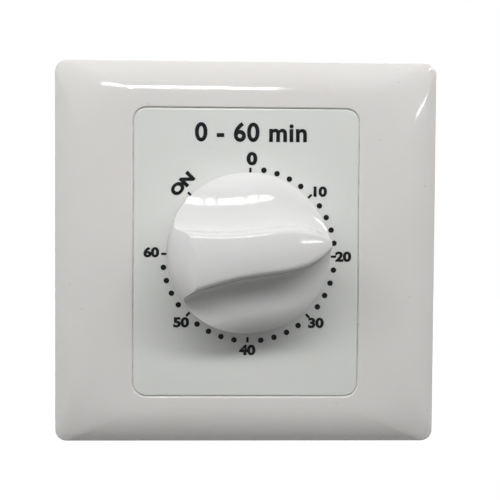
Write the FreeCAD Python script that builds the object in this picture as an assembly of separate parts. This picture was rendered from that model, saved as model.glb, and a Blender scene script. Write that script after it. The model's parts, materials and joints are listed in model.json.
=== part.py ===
import FreeCAD, Part
import os
from math import asin, atan2, cos, degrees, exp, radians, sin, tan

V = FreeCAD.Vector

# Countdown timer switch on an 86 mm wall plate, millimetres.
# X runs to the right, Z up, the wall plane is y = 0 and the plate faces -Y.
# A height is a distance out of the wall, towards -Y. A depth is one into the wall box, towards +Y.
# The origin is the middle of the plate, midway between the two wall-box screws.

# Cover frame
plate_side = 86.0
plate_corner = 2.6
edge_height = 5.3
edge_slope = 37.0
edge_round = 0.4
edge_round_steps = 3
crest_radius = 13.5
crest_corner = 12.0
crest_steps = 7
frame_wall = 2.0
opening_width = 50.6
opening_height = 64.7
opening_corner = 3.1
opening_edge_round = 0.35
collar_wall = 1.2
collar_drop = 3.0
seat_gap = 0.3

# Faceplate
faceplate_gap = 0.12
faceplate_recess = 0.1
faceplate_wall = 2.0
faceplate_edge_round = 0.35
skirt_wall = 1.5
dial_offset_x = 0.19
dial_offset_z = 0.17
bush_hole_gap = 0.4
boss_radius = 2.5
boss_bore_depth = 6.0
boss_side_gap = 0.38
tongue_width = 8.0
tongue_offset = 14.0
tongue_gap = 0.25
barb_reach = 1.0
barb_depth = 1.4

# Bracket behind the frame, fixed by the two wall-box screws
bracket_side_gap = 1.0
bracket_corner_gap = 0.5
bracket_wall = 2.0
bracket_rim_wall = 1.5
screw_spacing = 60.3
screw_slot_radius = 2.25
screw_slot_length = 7.0
slot_ring_wall = 1.4
slot_ring_height = 0.8
latch_width = 8.0
latch_offset = 20.0
latch_reach = 0.75
latch_thickness = 1.0
latch_gap = 0.2

# Knob
pointer_angle = 90.0 - (2083.0 * 22.5 / 367.5 - 45.0)
knob_gap = 0.6
knob_top_radius = 17.45
knob_draft = 0.15
knob_rim_height = 5.6
grip_height = 16.0
crown_angle = 12.0
ridge_radius = 1.4
wall_angle = 79.0
foot_radius = 2.5
foot_angle = 30.0
flank_radius = 21.7
valley_angle = 14.0
valley_height = 8.9
land_radius = 10.0
land_angle = 58.0
shoulder_height = 8.6
shoulder_radius = 7.4
tip_overhang = 0.4
tip_flare_height = 10.5
crown_clear = 1.0
knob_wall = 1.7
knob_roof = 2.0
roof_flat_radius = 10.0
roof_edge_drop = 1.0
grip_roof = 2.6
hub_radius = 5.0
hub_clear = 1.0
core_slot_half = 2.2
core_slot_back = 10.5
core_slot_front = 9.5
knob_rib_count = 6
knob_rib_wall = 1.2
rib_foot_step = 1.5
rib_bite = 0.4
flat_gap = 0.05
clip_thickness = 0.35
clip_angle = 70.0
clip_length = 6.0

# Grip of the knob in plan and along its top
grip_end_clear = 0.6
grip_waist = 4.2
grip_waist_place = 2.0
grip_flare = 0.0084
grip_tip_clear = 0.75
grip_tip_power = 3.5
grip_blend = 1.6
tip_drop = 4.0
tip_drop_start = 3.0
tip_drop_power = 2.2
grip_stations = 26
crown_steps = 4
ridge_steps = 6
wall_steps = 2
foot_steps = 6
flank_steps = 5
land_steps = 6

# Movement plates
plate_depth = 2.5
metal_sheet = 1.0
movement_depth = 18.5
movement_half_width = 25.0
movement_top = 28.0
movement_bottom = -26.0
movement_corner = 3.0
pillar_x = 22.0
pillar_top = 24.5
pillar_bottom = -22.5
pillar_radius = 2.4
screw_radius = 1.2
screw_head_radius = 2.3
screw_head_height = 1.3
screw_depth = 5.0
screw_gap = 0.05
slot_width = 0.6
slot_depth = 0.5
boss_top = 18.5
boss_bottom = -15.0

# Main shaft and its bearings
shaft_radius = 3.0
shaft_flat = 1.5
running_gap = 0.05
seat_fit = 0.02
bush_radius = 4.2
bush_flange_radius = 5.2
bush_flange = 1.0
front_bush_reach = 5.2
circlip_outer = 4.6
circlip_thickness = 0.8
circlip_groove = 0.5
circlip_opening = 3.6
core_radius = 4.5
core_start = 8.0
journal_radius = 2.2

# Wheel train: teeth, module, start depth and thickness of each wheel
great_teeth, great_module = 60, 0.5
second_teeth, second_module = 56, 0.4
third_teeth, third_module = 56, 0.35
escape_teeth = 16
pinion_leaves = 8
great_start, great_thickness = 5.0, 1.2
second_start, second_thickness = 14.6, 1.0
third_start, third_thickness = 17.0, 0.9
escape_start, escape_thickness = 19.0, 0.6
second_direction = 135.0
third_centre_x = -0.2
escape_direction = -13.4
pallet_direction = -29.0
escape_radius = 5.5
escape_tooth_depth = 1.35
pallet_distance = 7.43
pallet_span = 2.5
pallet_gap = 0.08
pallet_thickness_extra = 0.1
pallet_arm_radius = 1.3
bar_length = 12.0
bar_width = 2.2
bar_thickness = 1.4
bar_hub_radius = 1.9
bar_hub_extra = 0.4
bar_clearance = 0.6
arbor_radius = 0.8
pivot_radius = 0.5
pivot_gap = 0.04
end_shake = 0.2
collet_radius = 2.0
collet_length = 1.0
spoke_count = 4
spoke_width = 1.8
wheel_rim = 2.4

# Mainspring
spring_turns = 5
spring_inner = 4.75
spring_outer = 12.6
spring_strip = 0.4
spring_width = 5.6
stud_radius = 1.5
stud_side_gap = 1.3

# One-way drive on the first wheel
ratchet_teeth = 18
ratchet_radius = 6.4
ratchet_depth = 0.9
ratchet_start = 6.3
ratchet_thickness = 1.0
click_pivot_radius = 10.6
click_pivot_angle = -62.0
click_rivet_radius = 0.9
click_spring_radius = 0.25
click_spring_gap = 0.1
click_spring_reach = 2.0
click_spring_spread = 0.6
lightening_radius = 2.6

# Switch deck behind the rear plate
deck_half_width = 21.0
deck_top = 19.0
deck_bottom = -19.0
deck_wall = 2.0
deck_depth = 9.0
deck_corner = 2.0
cover_thickness = 1.6
deck_boss_radius = 2.4
deck_boss_inset = 3.4
cover_screw_x = 18.4
cam_radius = 8.4
cam_notch_depth = 1.8
cam_start = 2.6
cam_thickness = 2.6
cam_hub_front = 0.8
cam_hub_back = 1.0
cam_hub_wall = 1.6
blade_thickness = 0.4
blade_width = 4.0
blade_floor_gap = 0.3
blade_slot_gap = 0.1
post_wall = 1.6
post_length = 3.0
blade_gap = 2.6
blade_left = -14.0
blade_right = 17.5
contact_radius = 1.8
contact_stem = 0.9
contact_x = -11.5
terminal_width = 8.0
terminal_thickness = 1.2
terminal_x = 10.2
terminal_reach = 9.0
terminal_screw_radius = 1.75
terminal_head_radius = 3.2
terminal_head_height = 2.2
clamp_side = 7.4
clamp_thickness = 1.0
shelf_depth = 3.0

# Levels worked out from the sizes above
crest_width = crest_radius * sin(radians(edge_slope))
crest_rise = crest_radius * (1.0 - cos(radians(edge_slope)))
frame_height = edge_height + crest_rise
faceplate_height = frame_height - faceplate_recess
faceplate_width = opening_width - 2.0 * faceplate_gap
faceplate_length = opening_height - 2.0 * faceplate_gap
boss_x = faceplate_width / 2.0 - skirt_wall - boss_radius - abs(dial_offset_x) - boss_side_gap
stud_x = -(boss_x - screw_head_radius - stud_side_gap - stud_radius)
bracket_side = plate_side - 2.0 * (frame_wall + bracket_side_gap)
knob_base_height = faceplate_height + knob_gap
knob_base_radius = knob_top_radius + knob_draft
knob_tip_radius = knob_top_radius + tip_overhang
grip_tip_length = knob_tip_radius + grip_tip_clear - grip_waist_place
rear_plate_depth = plate_depth + movement_depth
deck_start = rear_plate_depth + metal_sheet
deck_end = deck_start + deck_depth
pillar_start = plate_depth + metal_sheet


def polar(radius, angle):
    """Point at an angle counter-clockwise from +X, seen from the front."""
    return radius * cos(radians(angle)), radius * sin(radians(angle))


def cylinder(radius, start, end, x=0.0, z=0.0):
    return Part.makeCylinder(radius, end - start, V(x, start, z), V(0, 1, 0))


def ring(outer, inner, start, end, x=0.0, z=0.0):
    margin = 1.0
    bore = cylinder(inner, start - margin, end + margin, x, z)
    return cylinder(outer, start, end, x, z).cut(bore)


def block(x0, x1, y0, y1, z0, z1):
    return Part.makeBox(x1 - x0, y1 - y0, z1 - z0, V(x0, y0, z0))


def rounded_wire(width, height, corner, y, x=0.0, z=0.0):
    """Rectangle with round corners in the plane at y."""
    half_w = width / 2.0
    half_h = height / 2.0
    edges = []
    for turn, (sx, sz) in enumerate(((1, 1), (-1, 1), (-1, -1), (1, -1))):
        cx = x + sx * (half_w - corner)
        cz = z + sz * (half_h - corner)
        start = 90.0 * turn
        arc = []
        for step in (0.0, 45.0, 90.0):
            dx, dz = polar(corner, start + step)
            arc.append(V(cx + dx, y, cz + dz))
        if edges:
            edges.append(Part.makeLine(last, arc[0]))
        else:
            first = arc[0]
        edges.append(Part.Arc(*arc).toShape())
        last = arc[2]
    edges.append(Part.makeLine(last, first))
    return Part.Wire(edges)


def slab(width, height, corner, start, end, x=0.0, z=0.0):
    face = Part.Face(rounded_wire(width, height, corner, start, x, z))
    return face.extrude(V(0, end - start, 0))


def outline_solid(points, start, end, holes=()):
    """Extrudes a closed outline of (x, z) points, with holes given as wires at y = start."""
    corners = [V(x, start, z) for x, z in points]
    outer = Part.makePolygon(corners + [corners[0]])
    if holes:
        face = Part.makeFace([outer] + list(holes), "Part::FaceMakerBullseye")
    else:
        face = Part.Face(outer)
    return face.extrude(V(0, end - start, 0))


def circle_wire(radius, y, x=0.0, z=0.0):
    return Part.Wire([Part.Circle(V(x, y, z), V(0, 1, 0), radius).toShape()])


def revolve(profile, x=0.0, z=0.0):
    """Turns a closed outline of (radius, y) points about the axis along Y through x, z."""
    points = [V(x + r, y, z) for r, y in profile]
    face = Part.Face(Part.makePolygon(points + [points[0]]))
    return face.revolve(V(x, 0, z), V(0, 1, 0), 360)


def fuse_all(shapes):
    solid = shapes[0]
    for shape in shapes[1:]:
        solid = solid.fuse(shape)
    return solid.removeSplitter()


def on_dial(shape):
    """Moves a shape from the dial's axis at x = z = 0 to its place on the plate."""
    placed = shape.copy()
    placed.translate(V(dial_offset_x, 0, dial_offset_z))
    return placed


def turned(shape, angle, x=0.0, z=0.0):
    """Turns a shape counter-clockwise, seen from the front."""
    result = shape.copy()
    result.rotate(V(x, 0, z), V(0, -1, 0), angle)
    return result


# Outer frame

def frame_corner(inset):
    return plate_corner + (crest_corner - plate_corner) * inset / crest_width


def frame_wire(inset, height):
    side = plate_side - 2.0 * inset
    return rounded_wire(side, side, frame_corner(inset), -height)


def frame_blank():
    """Side wall, rounded edge and one long arc up to the crest, as three stacked solids."""
    inner_radius = crest_radius - edge_round
    slope = degrees(asin((crest_width - edge_round) / inner_radius))
    round_foot = frame_height - crest_radius + inner_radius * cos(radians(slope))
    side = Part.makeLoft([frame_wire(0, 0), frame_wire(0, round_foot)], True, True)
    edge = []
    for step in range(edge_round_steps + 1):
        angle = radians(90.0 + (slope - 90.0) * step / edge_round_steps)
        edge.append(frame_wire(edge_round * (1.0 - sin(angle)), round_foot + edge_round * cos(angle)))
    crest = []
    for step in range(crest_steps + 1):
        angle = radians(slope * (1.0 - step / crest_steps))
        inset = crest_width - crest_radius * sin(angle)
        crest.append(frame_wire(inset, frame_height - crest_radius * (1.0 - cos(angle))))
    body = side.fuse(Part.makeLoft(edge, True, False))
    return body.fuse(Part.makeLoft(crest, True, False)).removeSplitter()


def frame_underside(inset):
    """Height of the inside face, one wall's thickness under the arc of the border."""
    inner_radius = crest_radius - frame_wall
    rise = (inner_radius ** 2 - (crest_width - inset) ** 2) ** 0.5
    return frame_height - crest_radius + rise


def frame_cavity():
    below = 1.0
    side = Part.makeLoft(
        [frame_wire(frame_wall, -below), frame_wire(frame_wall, frame_underside(frame_wall))],
        True, True)
    arch = []
    for step in range(crest_steps + 1):
        inset = frame_wall + (crest_width - frame_wall) * step / crest_steps
        arch.append(frame_wire(inset, frame_underside(inset)))
    return side.fuse(Part.makeLoft(arch, True, False))


def latch(reach_from, outward, flat, toward, side_sign):
    """Two latch ledges on one side: a flat at this height and a ramp to the front (1) or the wall (-1)."""
    tip = reach_from + outward * latch_reach
    points = [
        V(0, -flat, reach_from), V(0, -flat, tip),
        V(0, -(flat + toward * latch_thickness / 2.0), tip),
        V(0, -(flat + toward * latch_thickness), reach_from),
    ]
    wedge = Part.Face(Part.makePolygon(points + [points[0]])).extrude(V(latch_width, 0, 0))
    wedges = []
    for x in (-latch_offset, latch_offset):
        copy = wedge.copy()
        copy.translate(V(x - latch_width / 2.0, 0, 0))
        wedges.append(copy)
    solid = wedges[0].fuse(wedges[1])
    return solid if side_sign > 0 else solid.mirror(V(0, 0, 0), V(0, 0, 1))


def opening_edges(shape, width, height, level):
    """Edges of a rounded rectangle of this size that lie in the plane at this height."""
    found = []
    for edge in shape.Edges:
        box = edge.BoundBox
        flat = abs(box.YMin + level) < 0.01 and abs(box.YMax + level) < 0.01
        inside = box.XMax < width / 2.0 + 0.01 and box.ZMax < height / 2.0 + 0.01
        if flat and inside and box.XMin > -width / 2.0 - 0.01 and box.ZMin > -height / 2.0 - 0.01:
            found.append(edge)
    return found


def outer_frame():
    shell = frame_blank().cut(frame_cavity())
    collar_end = frame_height - frame_wall - collar_drop
    collar = slab(opening_width + 2.0 * collar_wall, opening_height + 2.0 * collar_wall,
                  opening_corner + collar_wall, -(frame_height - frame_wall), -collar_end)
    shell = shell.fuse(collar)
    opening = slab(opening_width, opening_height, opening_corner, -frame_height - 1.0, 1.0)
    shell = shell.cut(opening)
    inner_wall = plate_side / 2.0 - frame_wall
    for side_sign in (1, -1):
        shell = shell.fuse(latch(inner_wall, -1, latch_flat() - latch_gap, -1, side_sign))
    shell = shell.removeSplitter()
    edges = opening_edges(shell, opening_width, opening_height, frame_height)
    return shell.makeFillet(opening_edge_round, edges)


# Mounting bracket

def bracket_rim_height():
    inset = (plate_side - bracket_side) / 2.0
    return frame_underside(inset) - seat_gap


def latch_flat():
    """Height of the bracket's latch faces, which look towards the wall."""
    return bracket_rim_height() - latch_thickness


def mounting_bracket():
    opening_w = faceplate_width - 2.0 * skirt_wall
    opening_h = faceplate_length - 2.0 * skirt_wall
    rim_height = bracket_rim_height()
    corner = frame_corner((plate_side - bracket_side) / 2.0) + bracket_corner_gap
    body = slab(bracket_side, bracket_side, corner, -rim_height, 0.0)
    inner_side = bracket_side - 2.0 * bracket_rim_wall
    body = body.cut(slab(inner_side, inner_side, corner - bracket_rim_wall, -rim_height - 1.0, -bracket_wall))
    body = body.cut(slab(opening_w, opening_h, opening_corner - skirt_wall, -bracket_wall - 1.0, 1.0))
    ring_front = -bracket_wall - slot_ring_height
    for x in (-screw_spacing / 2.0, screw_spacing / 2.0):
        body = body.fuse(long_slot(screw_slot_radius + slot_ring_wall, ring_front, -bracket_wall, x))
        body = body.cut(long_slot(screw_slot_radius, ring_front - 1.0, 1.0, x))
    for side_sign in (1, -1):
        body = body.fuse(latch(bracket_side / 2.0, 1, latch_flat(), 1, side_sign))
    return body.removeSplitter()


def long_slot(radius, start, end, x):
    """Round-ended bar along X, as wide as the slot for a wall-box screw at its middle line."""
    half = screw_slot_length / 2.0 - screw_slot_radius
    ends = [cylinder(radius, start, end, x + side * half) for side in (-1, 1)]
    middle = block(x - half, x + half, start, end, -radius, radius)
    return ends[0].fuse(ends[1]).fuse(middle).removeSplitter()


# Faceplate

def boss_places():
    return [(side * boss_x, z) for side in (-1, 1) for z in (boss_top, boss_bottom)]


def faceplate():
    rear = faceplate_height - faceplate_wall
    body = slab(faceplate_width, faceplate_length, opening_corner - faceplate_gap,
                -faceplate_height, -bracket_wall)
    cavity = slab(faceplate_width - 2.0 * skirt_wall, faceplate_length - 2.0 * skirt_wall,
                  opening_corner - skirt_wall, -rear, 1.0)
    body = body.cut(cavity)
    edges = opening_edges(body, faceplate_width, faceplate_length, faceplate_height)
    body = body.makeFillet(faceplate_edge_round, edges)
    for x, z in boss_places():
        body = body.fuse(on_dial(cylinder(boss_radius, -rear, plate_depth, x, z)))
    for side in (-1, 1):
        for x in (-tongue_offset, tongue_offset):
            body = body.fuse(tongue(x, side))
    for x, z in boss_places():
        bore = cylinder(screw_radius + screw_gap, plate_depth - boss_bore_depth, plate_depth + 1.0, x, z)
        body = body.cut(on_dial(bore))
    hole = cylinder(bush_radius + bush_hole_gap, -faceplate_height - 1.0, 0.0)
    return body.cut(on_dial(hole)).removeSplitter()


def tongue(x, side):
    """Clip that passes through the bracket's opening and catches behind it."""
    outer = faceplate_length / 2.0 - skirt_wall - tongue_gap
    inner = outer - skirt_wall
    rear = faceplate_height - faceplate_wall
    root = faceplate_length / 2.0 - skirt_wall + 0.2
    points = [
        V(x, -rear, inner), V(x, -rear, root), V(x, -bracket_wall - tongue_gap, root),
        V(x, -bracket_wall - tongue_gap, outer), V(x, latch_gap, outer),
        V(x, latch_gap, outer + barb_reach), V(x, latch_gap + 0.4, outer + barb_reach),
        V(x, latch_gap + barb_depth, outer), V(x, latch_gap + barb_depth, inner),
    ]
    solid = Part.Face(Part.makePolygon(points + [points[0]])).extrude(V(tongue_width, 0, 0))
    solid.translate(V(-tongue_width / 2.0, 0, 0))
    return solid if side > 0 else solid.mirror(V(0, 0, 0), V(0, 0, 1))


# Knob, drawn with its pointer along +X and its base at height knob_base_height

def at_knob_height(height):
    return -(knob_base_height + height)


def grip_half_width(station):
    """Half width of the grip: flared towards the wide end, drawn to a point at the tip."""
    along = station - grip_waist_place
    if along < 0:
        return grip_waist + grip_flare * along ** 2
    return grip_waist * (1.0 - (along / grip_tip_length) ** grip_tip_power)


def grip_top(station):
    """Height of the grip, which falls towards the tip."""
    along = max(station - tip_drop_start, 0.0)
    reach = knob_top_radius - tip_drop_start
    return grip_height - tip_drop * (along / reach) ** tip_drop_power


def slope_arc(start, radius, first, last, steps):
    """Points after start on an arc that falls outwards while its slope goes from first to last."""
    across, height = start
    bend = radius if last > first else -radius
    points = []
    for index in range(1, steps + 1):
        slope = radians(first + (last - first) * index / steps)
        out = bend * (sin(slope) - sin(radians(first)))
        fall = bend * (cos(radians(first)) - cos(slope))
        points.append((across + out, height - fall))
    return points


def grip_half_section(station):
    """(across, height) points from the middle: crown, ridge, steep wall, hollow flank, falling land."""
    half_width = grip_half_width(station)
    height = grip_top(station)
    scale = (height - valley_height) / (grip_height - valley_height)
    ridge = ridge_radius * (1.0 - exp(-half_width / grip_blend))
    crown, wall = radians(crown_angle), radians(wall_angle)
    foot, valley = radians(foot_angle), radians(valley_angle)
    top = half_width - ridge * (sin(wall) - sin(crown)) / 2.0
    points = []
    for index in range(crown_steps + 1):
        across = top * index / crown_steps
        points.append((across, height - across ** 2 / top * tan(crown / 2.0)))
    points += slope_arc(points[-1], ridge, crown_angle, wall_angle, ridge_steps)
    flank_fall = foot_radius * (cos(foot) - cos(wall)) + flank_radius * (cos(valley) - cos(foot))
    across, wall_top = points[-1]
    wall_fall = wall_top - valley_height - scale * flank_fall
    for index in range(1, wall_steps + 1):
        fall = wall_fall * index / wall_steps
        points.append((across + fall / tan(wall), wall_top - fall))
    points += slope_arc(points[-1], scale * foot_radius, wall_angle, foot_angle, foot_steps)
    points += slope_arc(points[-1], scale * flank_radius, foot_angle, valley_angle, flank_steps)
    return points + slope_arc(points[-1], land_radius, valley_angle, land_angle, land_steps)


def grip_solid():
    """Everything under one smooth surface through the grip's sections."""
    rows = []
    low = -(knob_base_radius + grip_end_clear)
    high = knob_tip_radius + grip_tip_clear / 2.0
    for index in range(grip_stations):
        station = low + (high - low) * index / (grip_stations - 1)
        half = grip_half_section(station)
        row = [V(station, at_knob_height(h), -t) for t, h in reversed(half[1:])]
        row += [V(station, at_knob_height(h), t) for t, h in half]
        rows.append(row)
    surface = Part.BSplineSurface()
    surface.interpolate(rows)
    return surface.toShape().extrude(V(0, 2.0 * grip_height, 0))


def knob_point(radius, height):
    return V(radius, at_knob_height(height), 0)


def half_turned(edges, toward):
    """Turns a closed profile about the knob's axis over the half on the side of +X (1) or -X (-1)."""
    profile = Part.Face(Part.Wire(edges))
    profile.rotate(V(0, 0, 0), V(0, -1, 0), -90.0 * toward)
    return profile.revolve(V(0, 0, 0), V(0, -1, 0), 180.0)


def knob_blank():
    """Round body of the knob, domed over the wide end, its wall leaning out under the tip."""
    top = grip_height + crown_clear
    axis_base, base = knob_point(0, 0), knob_point(knob_base_radius, 0)
    crown_top = knob_point(0, top)
    shoulder = knob_point(knob_top_radius, shoulder_height)
    centre = knob_top_radius - shoulder_radius
    mid_r, mid_h = polar(shoulder_radius, 45.0)
    middle = knob_point(centre + mid_r, shoulder_height + mid_h)
    crown_edge = knob_point(centre, shoulder_height + shoulder_radius)
    dome = half_turned([
        Part.makeLine(axis_base, base),
        Part.makeLine(base, shoulder),
        Part.Arc(shoulder, middle, crown_edge).toShape(),
        Part.makeLine(crown_edge, crown_top),
        Part.makeLine(crown_top, axis_base),
    ], -1)
    flare = knob_point(knob_tip_radius, tip_flare_height)
    rim = knob_point(knob_tip_radius, top)
    tip = half_turned([
        Part.makeLine(axis_base, base),
        Part.makeLine(base, shoulder),
        Part.makeLine(shoulder, flare),
        Part.makeLine(flare, rim),
        Part.makeLine(rim, crown_top),
        Part.makeLine(crown_top, axis_base),
    ], 1)
    return dome.fuse(tip).removeSplitter()


def knob():
    body = knob_blank().common(grip_solid())
    body = body.cut(knob_hollow())
    body = body.fuse(knob_hub())
    body = body.cut(knob_bore())
    return turned(body.removeSplitter(), pointer_angle)


def inner_radius_at(height):
    """Radius of the knob's inside wall, which has the draft of the outside."""
    return knob_base_radius - knob_wall - knob_draft * height / shoulder_height


def roof_height():
    return valley_height - knob_roof


def roof_edge():
    """Height at which the falling roof meets the side wall."""
    return knob_rim_height - roof_edge_drop


def knob_hollow():
    """Space under a roof that falls towards the rim, with a core up inside the grip."""
    below = -1.0
    skirt = revolve([
        (0, at_knob_height(below)),
        (inner_radius_at(below), at_knob_height(below)),
        (inner_radius_at(roof_edge()), at_knob_height(roof_edge())),
        (roof_flat_radius, at_knob_height(roof_height())),
        (0, at_knob_height(roof_height())),
    ])
    length = core_slot_back + core_slot_front
    centre = (core_slot_front - core_slot_back) / 2.0
    core = slab(length, 2.0 * core_slot_half, core_slot_half - 0.1,
                at_knob_height(grip_height - grip_roof), at_knob_height(roof_height() - 1.0), centre, 0.0)
    return skirt.fuse(core)


def knob_rib():
    """Rib along +X from the hub to the side wall, its top edge just inside the roof."""
    foot = at_knob_height(hub_clear + rib_foot_step)
    near = hub_radius - rib_bite
    far = inner_radius_at(roof_edge()) + rib_bite
    roof = at_knob_height(roof_height() + rib_bite)
    side = -knob_rib_wall / 2.0
    points = [V(near, foot, side), V(far, foot, side), V(far, at_knob_height(roof_edge() + rib_bite), side),
              V(roof_flat_radius, roof, side), V(near, roof, side)]
    return Part.Face(Part.makePolygon(points + [points[0]])).extrude(V(0, 0, knob_rib_wall))


def knob_hub():
    """Hub with its ribs; above the roof only the part that crosses the core is left of it."""
    roof = at_knob_height(roof_height() + rib_bite)
    top = at_knob_height(grip_height - grip_roof + rib_bite)
    half = core_slot_half + rib_bite
    crossing = cylinder(hub_radius, top, roof).common(
        block(-hub_radius, hub_radius, top, roof, -half, half))
    pieces = [cylinder(hub_radius, roof, at_knob_height(hub_clear)), crossing]
    for index in range(knob_rib_count):
        pieces.append(turned(knob_rib(), (index + 0.5) * 360.0 / knob_rib_count))
    return fuse_all(pieces)


def d_bore(radius, flat, start, end):
    """Round bore with one flat, which faces +X."""
    bore = cylinder(radius, start, end)
    return bore.cut(block(flat, 2.0 * radius, start - 1.0, end + 1.0, -2.0 * radius, 2.0 * radius))


def shaft_end():
    """Front end of the shaft inside the hub."""
    return at_knob_height(grip_height - grip_roof - 1.0)


def knob_bore():
    bore = d_bore(shaft_radius + flat_gap, shaft_flat + flat_gap, shaft_end() - 0.3, at_knob_height(-1.0))
    return bore.fuse(clip_sector(shaft_radius, clip_thickness + 2.0 * flat_gap, 0.4))


def clip_sector(inner, thickness, extra):
    """Part of a ring on the side of the bore that faces away from the flat."""
    start = shaft_end() + 2.0 - extra
    sector = ring(inner + thickness, inner, start, start + clip_length + 2.0 * extra)
    wedge = [(0, 0), polar(4.0 * inner, 180.0 - clip_angle / 2.0 - extra * 5.0),
             polar(4.0 * inner, 180.0 + clip_angle / 2.0 + extra * 5.0)]
    return sector.common(outline_solid(wedge, start - 1.0, start + clip_length + 3.0))


def knob_spring_clip():
    leaf = clip_sector(shaft_radius + flat_gap, clip_thickness, 0.0)
    return turned(leaf, pointer_angle)


# Movement plates and what holds them apart

def pillar_places():
    return [(side * pillar_x, z) for side in (-1, 1) for z in (pillar_top, pillar_bottom)]


def movement_plate(start, bearing_radius):
    height = movement_top - movement_bottom
    centre = (movement_top + movement_bottom) / 2.0
    plate = slab(2.0 * movement_half_width, height, movement_corner, start, start + metal_sheet, 0.0, centre)
    holes = [cylinder(bearing_radius, start - 1.0, start + metal_sheet + 1.0)]
    for x, z in pillar_places():
        holes.append(cylinder(screw_radius + screw_gap, start - 1.0, start + metal_sheet + 1.0, x, z))
    for x, z in arbor_places():
        holes.append(cylinder(pivot_radius + pivot_gap, start - 1.0, start + metal_sheet + 1.0, x, z))
    for hole in holes:
        plate = plate.cut(hole)
    return plate


def front_plate():
    plate = movement_plate(plate_depth, bush_radius)
    for x, z in boss_places():
        plate = plate.cut(cylinder(screw_radius + screw_gap, plate_depth - 1.0, pillar_start + 1.0, x, z))
    stud = cylinder(stud_radius * 0.6, plate_depth - 1.0, pillar_start + 1.0, stud_x, stud_height())
    return on_dial(plate.cut(stud))


def rear_plate():
    plate = movement_plate(rear_plate_depth, bush_radius)
    stud = cylinder(stud_radius * 0.6, rear_plate_depth - 1.0, deck_start + 1.0, stud_x, stud_height())
    plate = plate.cut(stud)
    for x, z in deck_screw_places():
        plate = plate.cut(cylinder(screw_radius + screw_gap, rear_plate_depth - 1.0, deck_start + 1.0, x, z))
    return on_dial(plate)


def plate_pillars():
    pillars = []
    bore_length = screw_depth - metal_sheet + 0.4
    for x, z in pillar_places():
        pillar = cylinder(pillar_radius, pillar_start, rear_plate_depth, x, z)
        for end, toward in ((pillar_start, 1), (rear_plate_depth, -1)):
            near, far = sorted((end - toward, end + toward * bore_length))
            pillar = pillar.cut(cylinder(screw_radius + screw_gap, near, far, x, z))
        pillars.append(pillar)
    return on_dial(Part.makeCompound(pillars))


def screw(x, z, seat, toward, length=None, radius=None, head_radius=None, head_height=None):
    """Slotted cheese-head screw whose head sits on the plane at y = seat and points the other way."""
    length = length or screw_depth
    radius = radius or screw_radius
    head_radius = head_radius or screw_head_radius
    head_height = head_height or screw_head_height
    top = seat - toward * head_height
    tip = seat + toward * length
    head = cylinder(head_radius, min(seat, top), max(seat, top), x, z)
    low, high = sorted((top, top + toward * slot_depth))
    head = head.cut(block(x - 2.0 * head_radius, x + 2.0 * head_radius, low, high,
                          z - slot_width / 2.0, z + slot_width / 2.0))
    return head.fuse(cylinder(radius, min(seat, tip), max(seat, tip), x, z))


def pillar_screws():
    screws = []
    for x, z in pillar_places():
        screws.append(screw(x, z, plate_depth, 1))
        screws.append(screw(x, z, deck_start, -1))
    return on_dial(Part.makeCompound(screws))


def movement_screws():
    return on_dial(Part.makeCompound([screw(x, z, pillar_start, -1) for x, z in boss_places()]))


def front_bush():
    body = cylinder(bush_radius - seat_fit, plate_depth - front_bush_reach, pillar_start)
    flange = cylinder(bush_flange_radius, pillar_start, pillar_start + bush_flange * 0.6)
    bore = cylinder(shaft_radius + running_gap, -front_bush_reach, pillar_start + bush_flange + 1.0)
    return on_dial(body.fuse(flange).cut(bore).removeSplitter())


def rear_bush():
    body = cylinder(bush_radius - seat_fit, rear_plate_depth, deck_start + 1.6)
    flange = cylinder(bush_flange_radius, rear_plate_depth - bush_flange, rear_plate_depth)
    bore = cylinder(journal_radius + running_gap, rear_plate_depth - 3.0, deck_start + 3.0)
    return on_dial(body.fuse(flange).cut(bore).removeSplitter())


def groove_start():
    return plate_depth - front_bush_reach - circlip_thickness - end_shake


def main_shaft():
    body_end = rear_plate_depth - bush_flange - end_shake
    body = cylinder(shaft_radius, shaft_end(), body_end)
    core = cylinder(core_radius, core_start, core_start + spring_width + 0.8)
    tail = cylinder(journal_radius, body_end, deck_end - end_shake)
    shaft = body.fuse(core).fuse(tail)
    groove = ring(2.0 * shaft_radius, shaft_radius - circlip_groove, groove_start(),
                  groove_start() + circlip_thickness + 0.04)
    shaft = shaft.cut(groove)
    flat_end = at_knob_height(-knob_gap / 2.0)
    flat = block(shaft_flat, 2.0 * shaft_radius, shaft_end() - 1.0, flat_end, -2.0 * shaft_radius,
                 2.0 * shaft_radius)
    shaft = shaft.cut(turned(flat, pointer_angle))
    cam_flat = block(journal_radius * 0.6, 2.0 * journal_radius, deck_start + cam_start - cam_hub_front,
                     deck_end + 1.0, -2.0 * journal_radius, 2.0 * journal_radius)
    return on_dial(shaft.cut(turned(cam_flat, pointer_angle)).removeSplitter())


def shaft_circlip():
    start = groove_start() + 0.02
    clip = ring(circlip_outer, shaft_radius - circlip_groove + seat_fit, start, start + circlip_thickness)
    gap = block(0, 2.0 * circlip_outer, start - 1.0, start + 2.0, -circlip_opening / 2.0, circlip_opening / 2.0)
    return on_dial(clip.cut(gap))


def friction_washer():
    """Dished washer between the front bush and the first wheel."""
    inner = shaft_radius + seat_fit
    low = great_start - 0.02
    thickness = 0.35
    rise = great_start - pillar_start - bush_flange * 0.6 - thickness - 0.15
    profile = [(inner, low - thickness), (inner, low), (hub_radius, low - rise),
               (hub_radius, low - rise - thickness)]
    return on_dial(revolve(profile))


# Wheels and pinions

def tooth_ring(count, phase, flank):
    """Closed outline made of count copies of one tooth; flank lists (radius, offset angle) pairs."""
    points = []
    for index in range(count):
        middle = phase + index * 360.0 / count
        for radius, offset in flank:
            points.append(polar(radius, middle - offset))
        for radius, offset in reversed(flank):
            if offset:
                points.append(polar(radius, middle + offset))
    return points


def offset_at(radius, half_width):
    return degrees(asin(half_width / radius))


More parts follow.
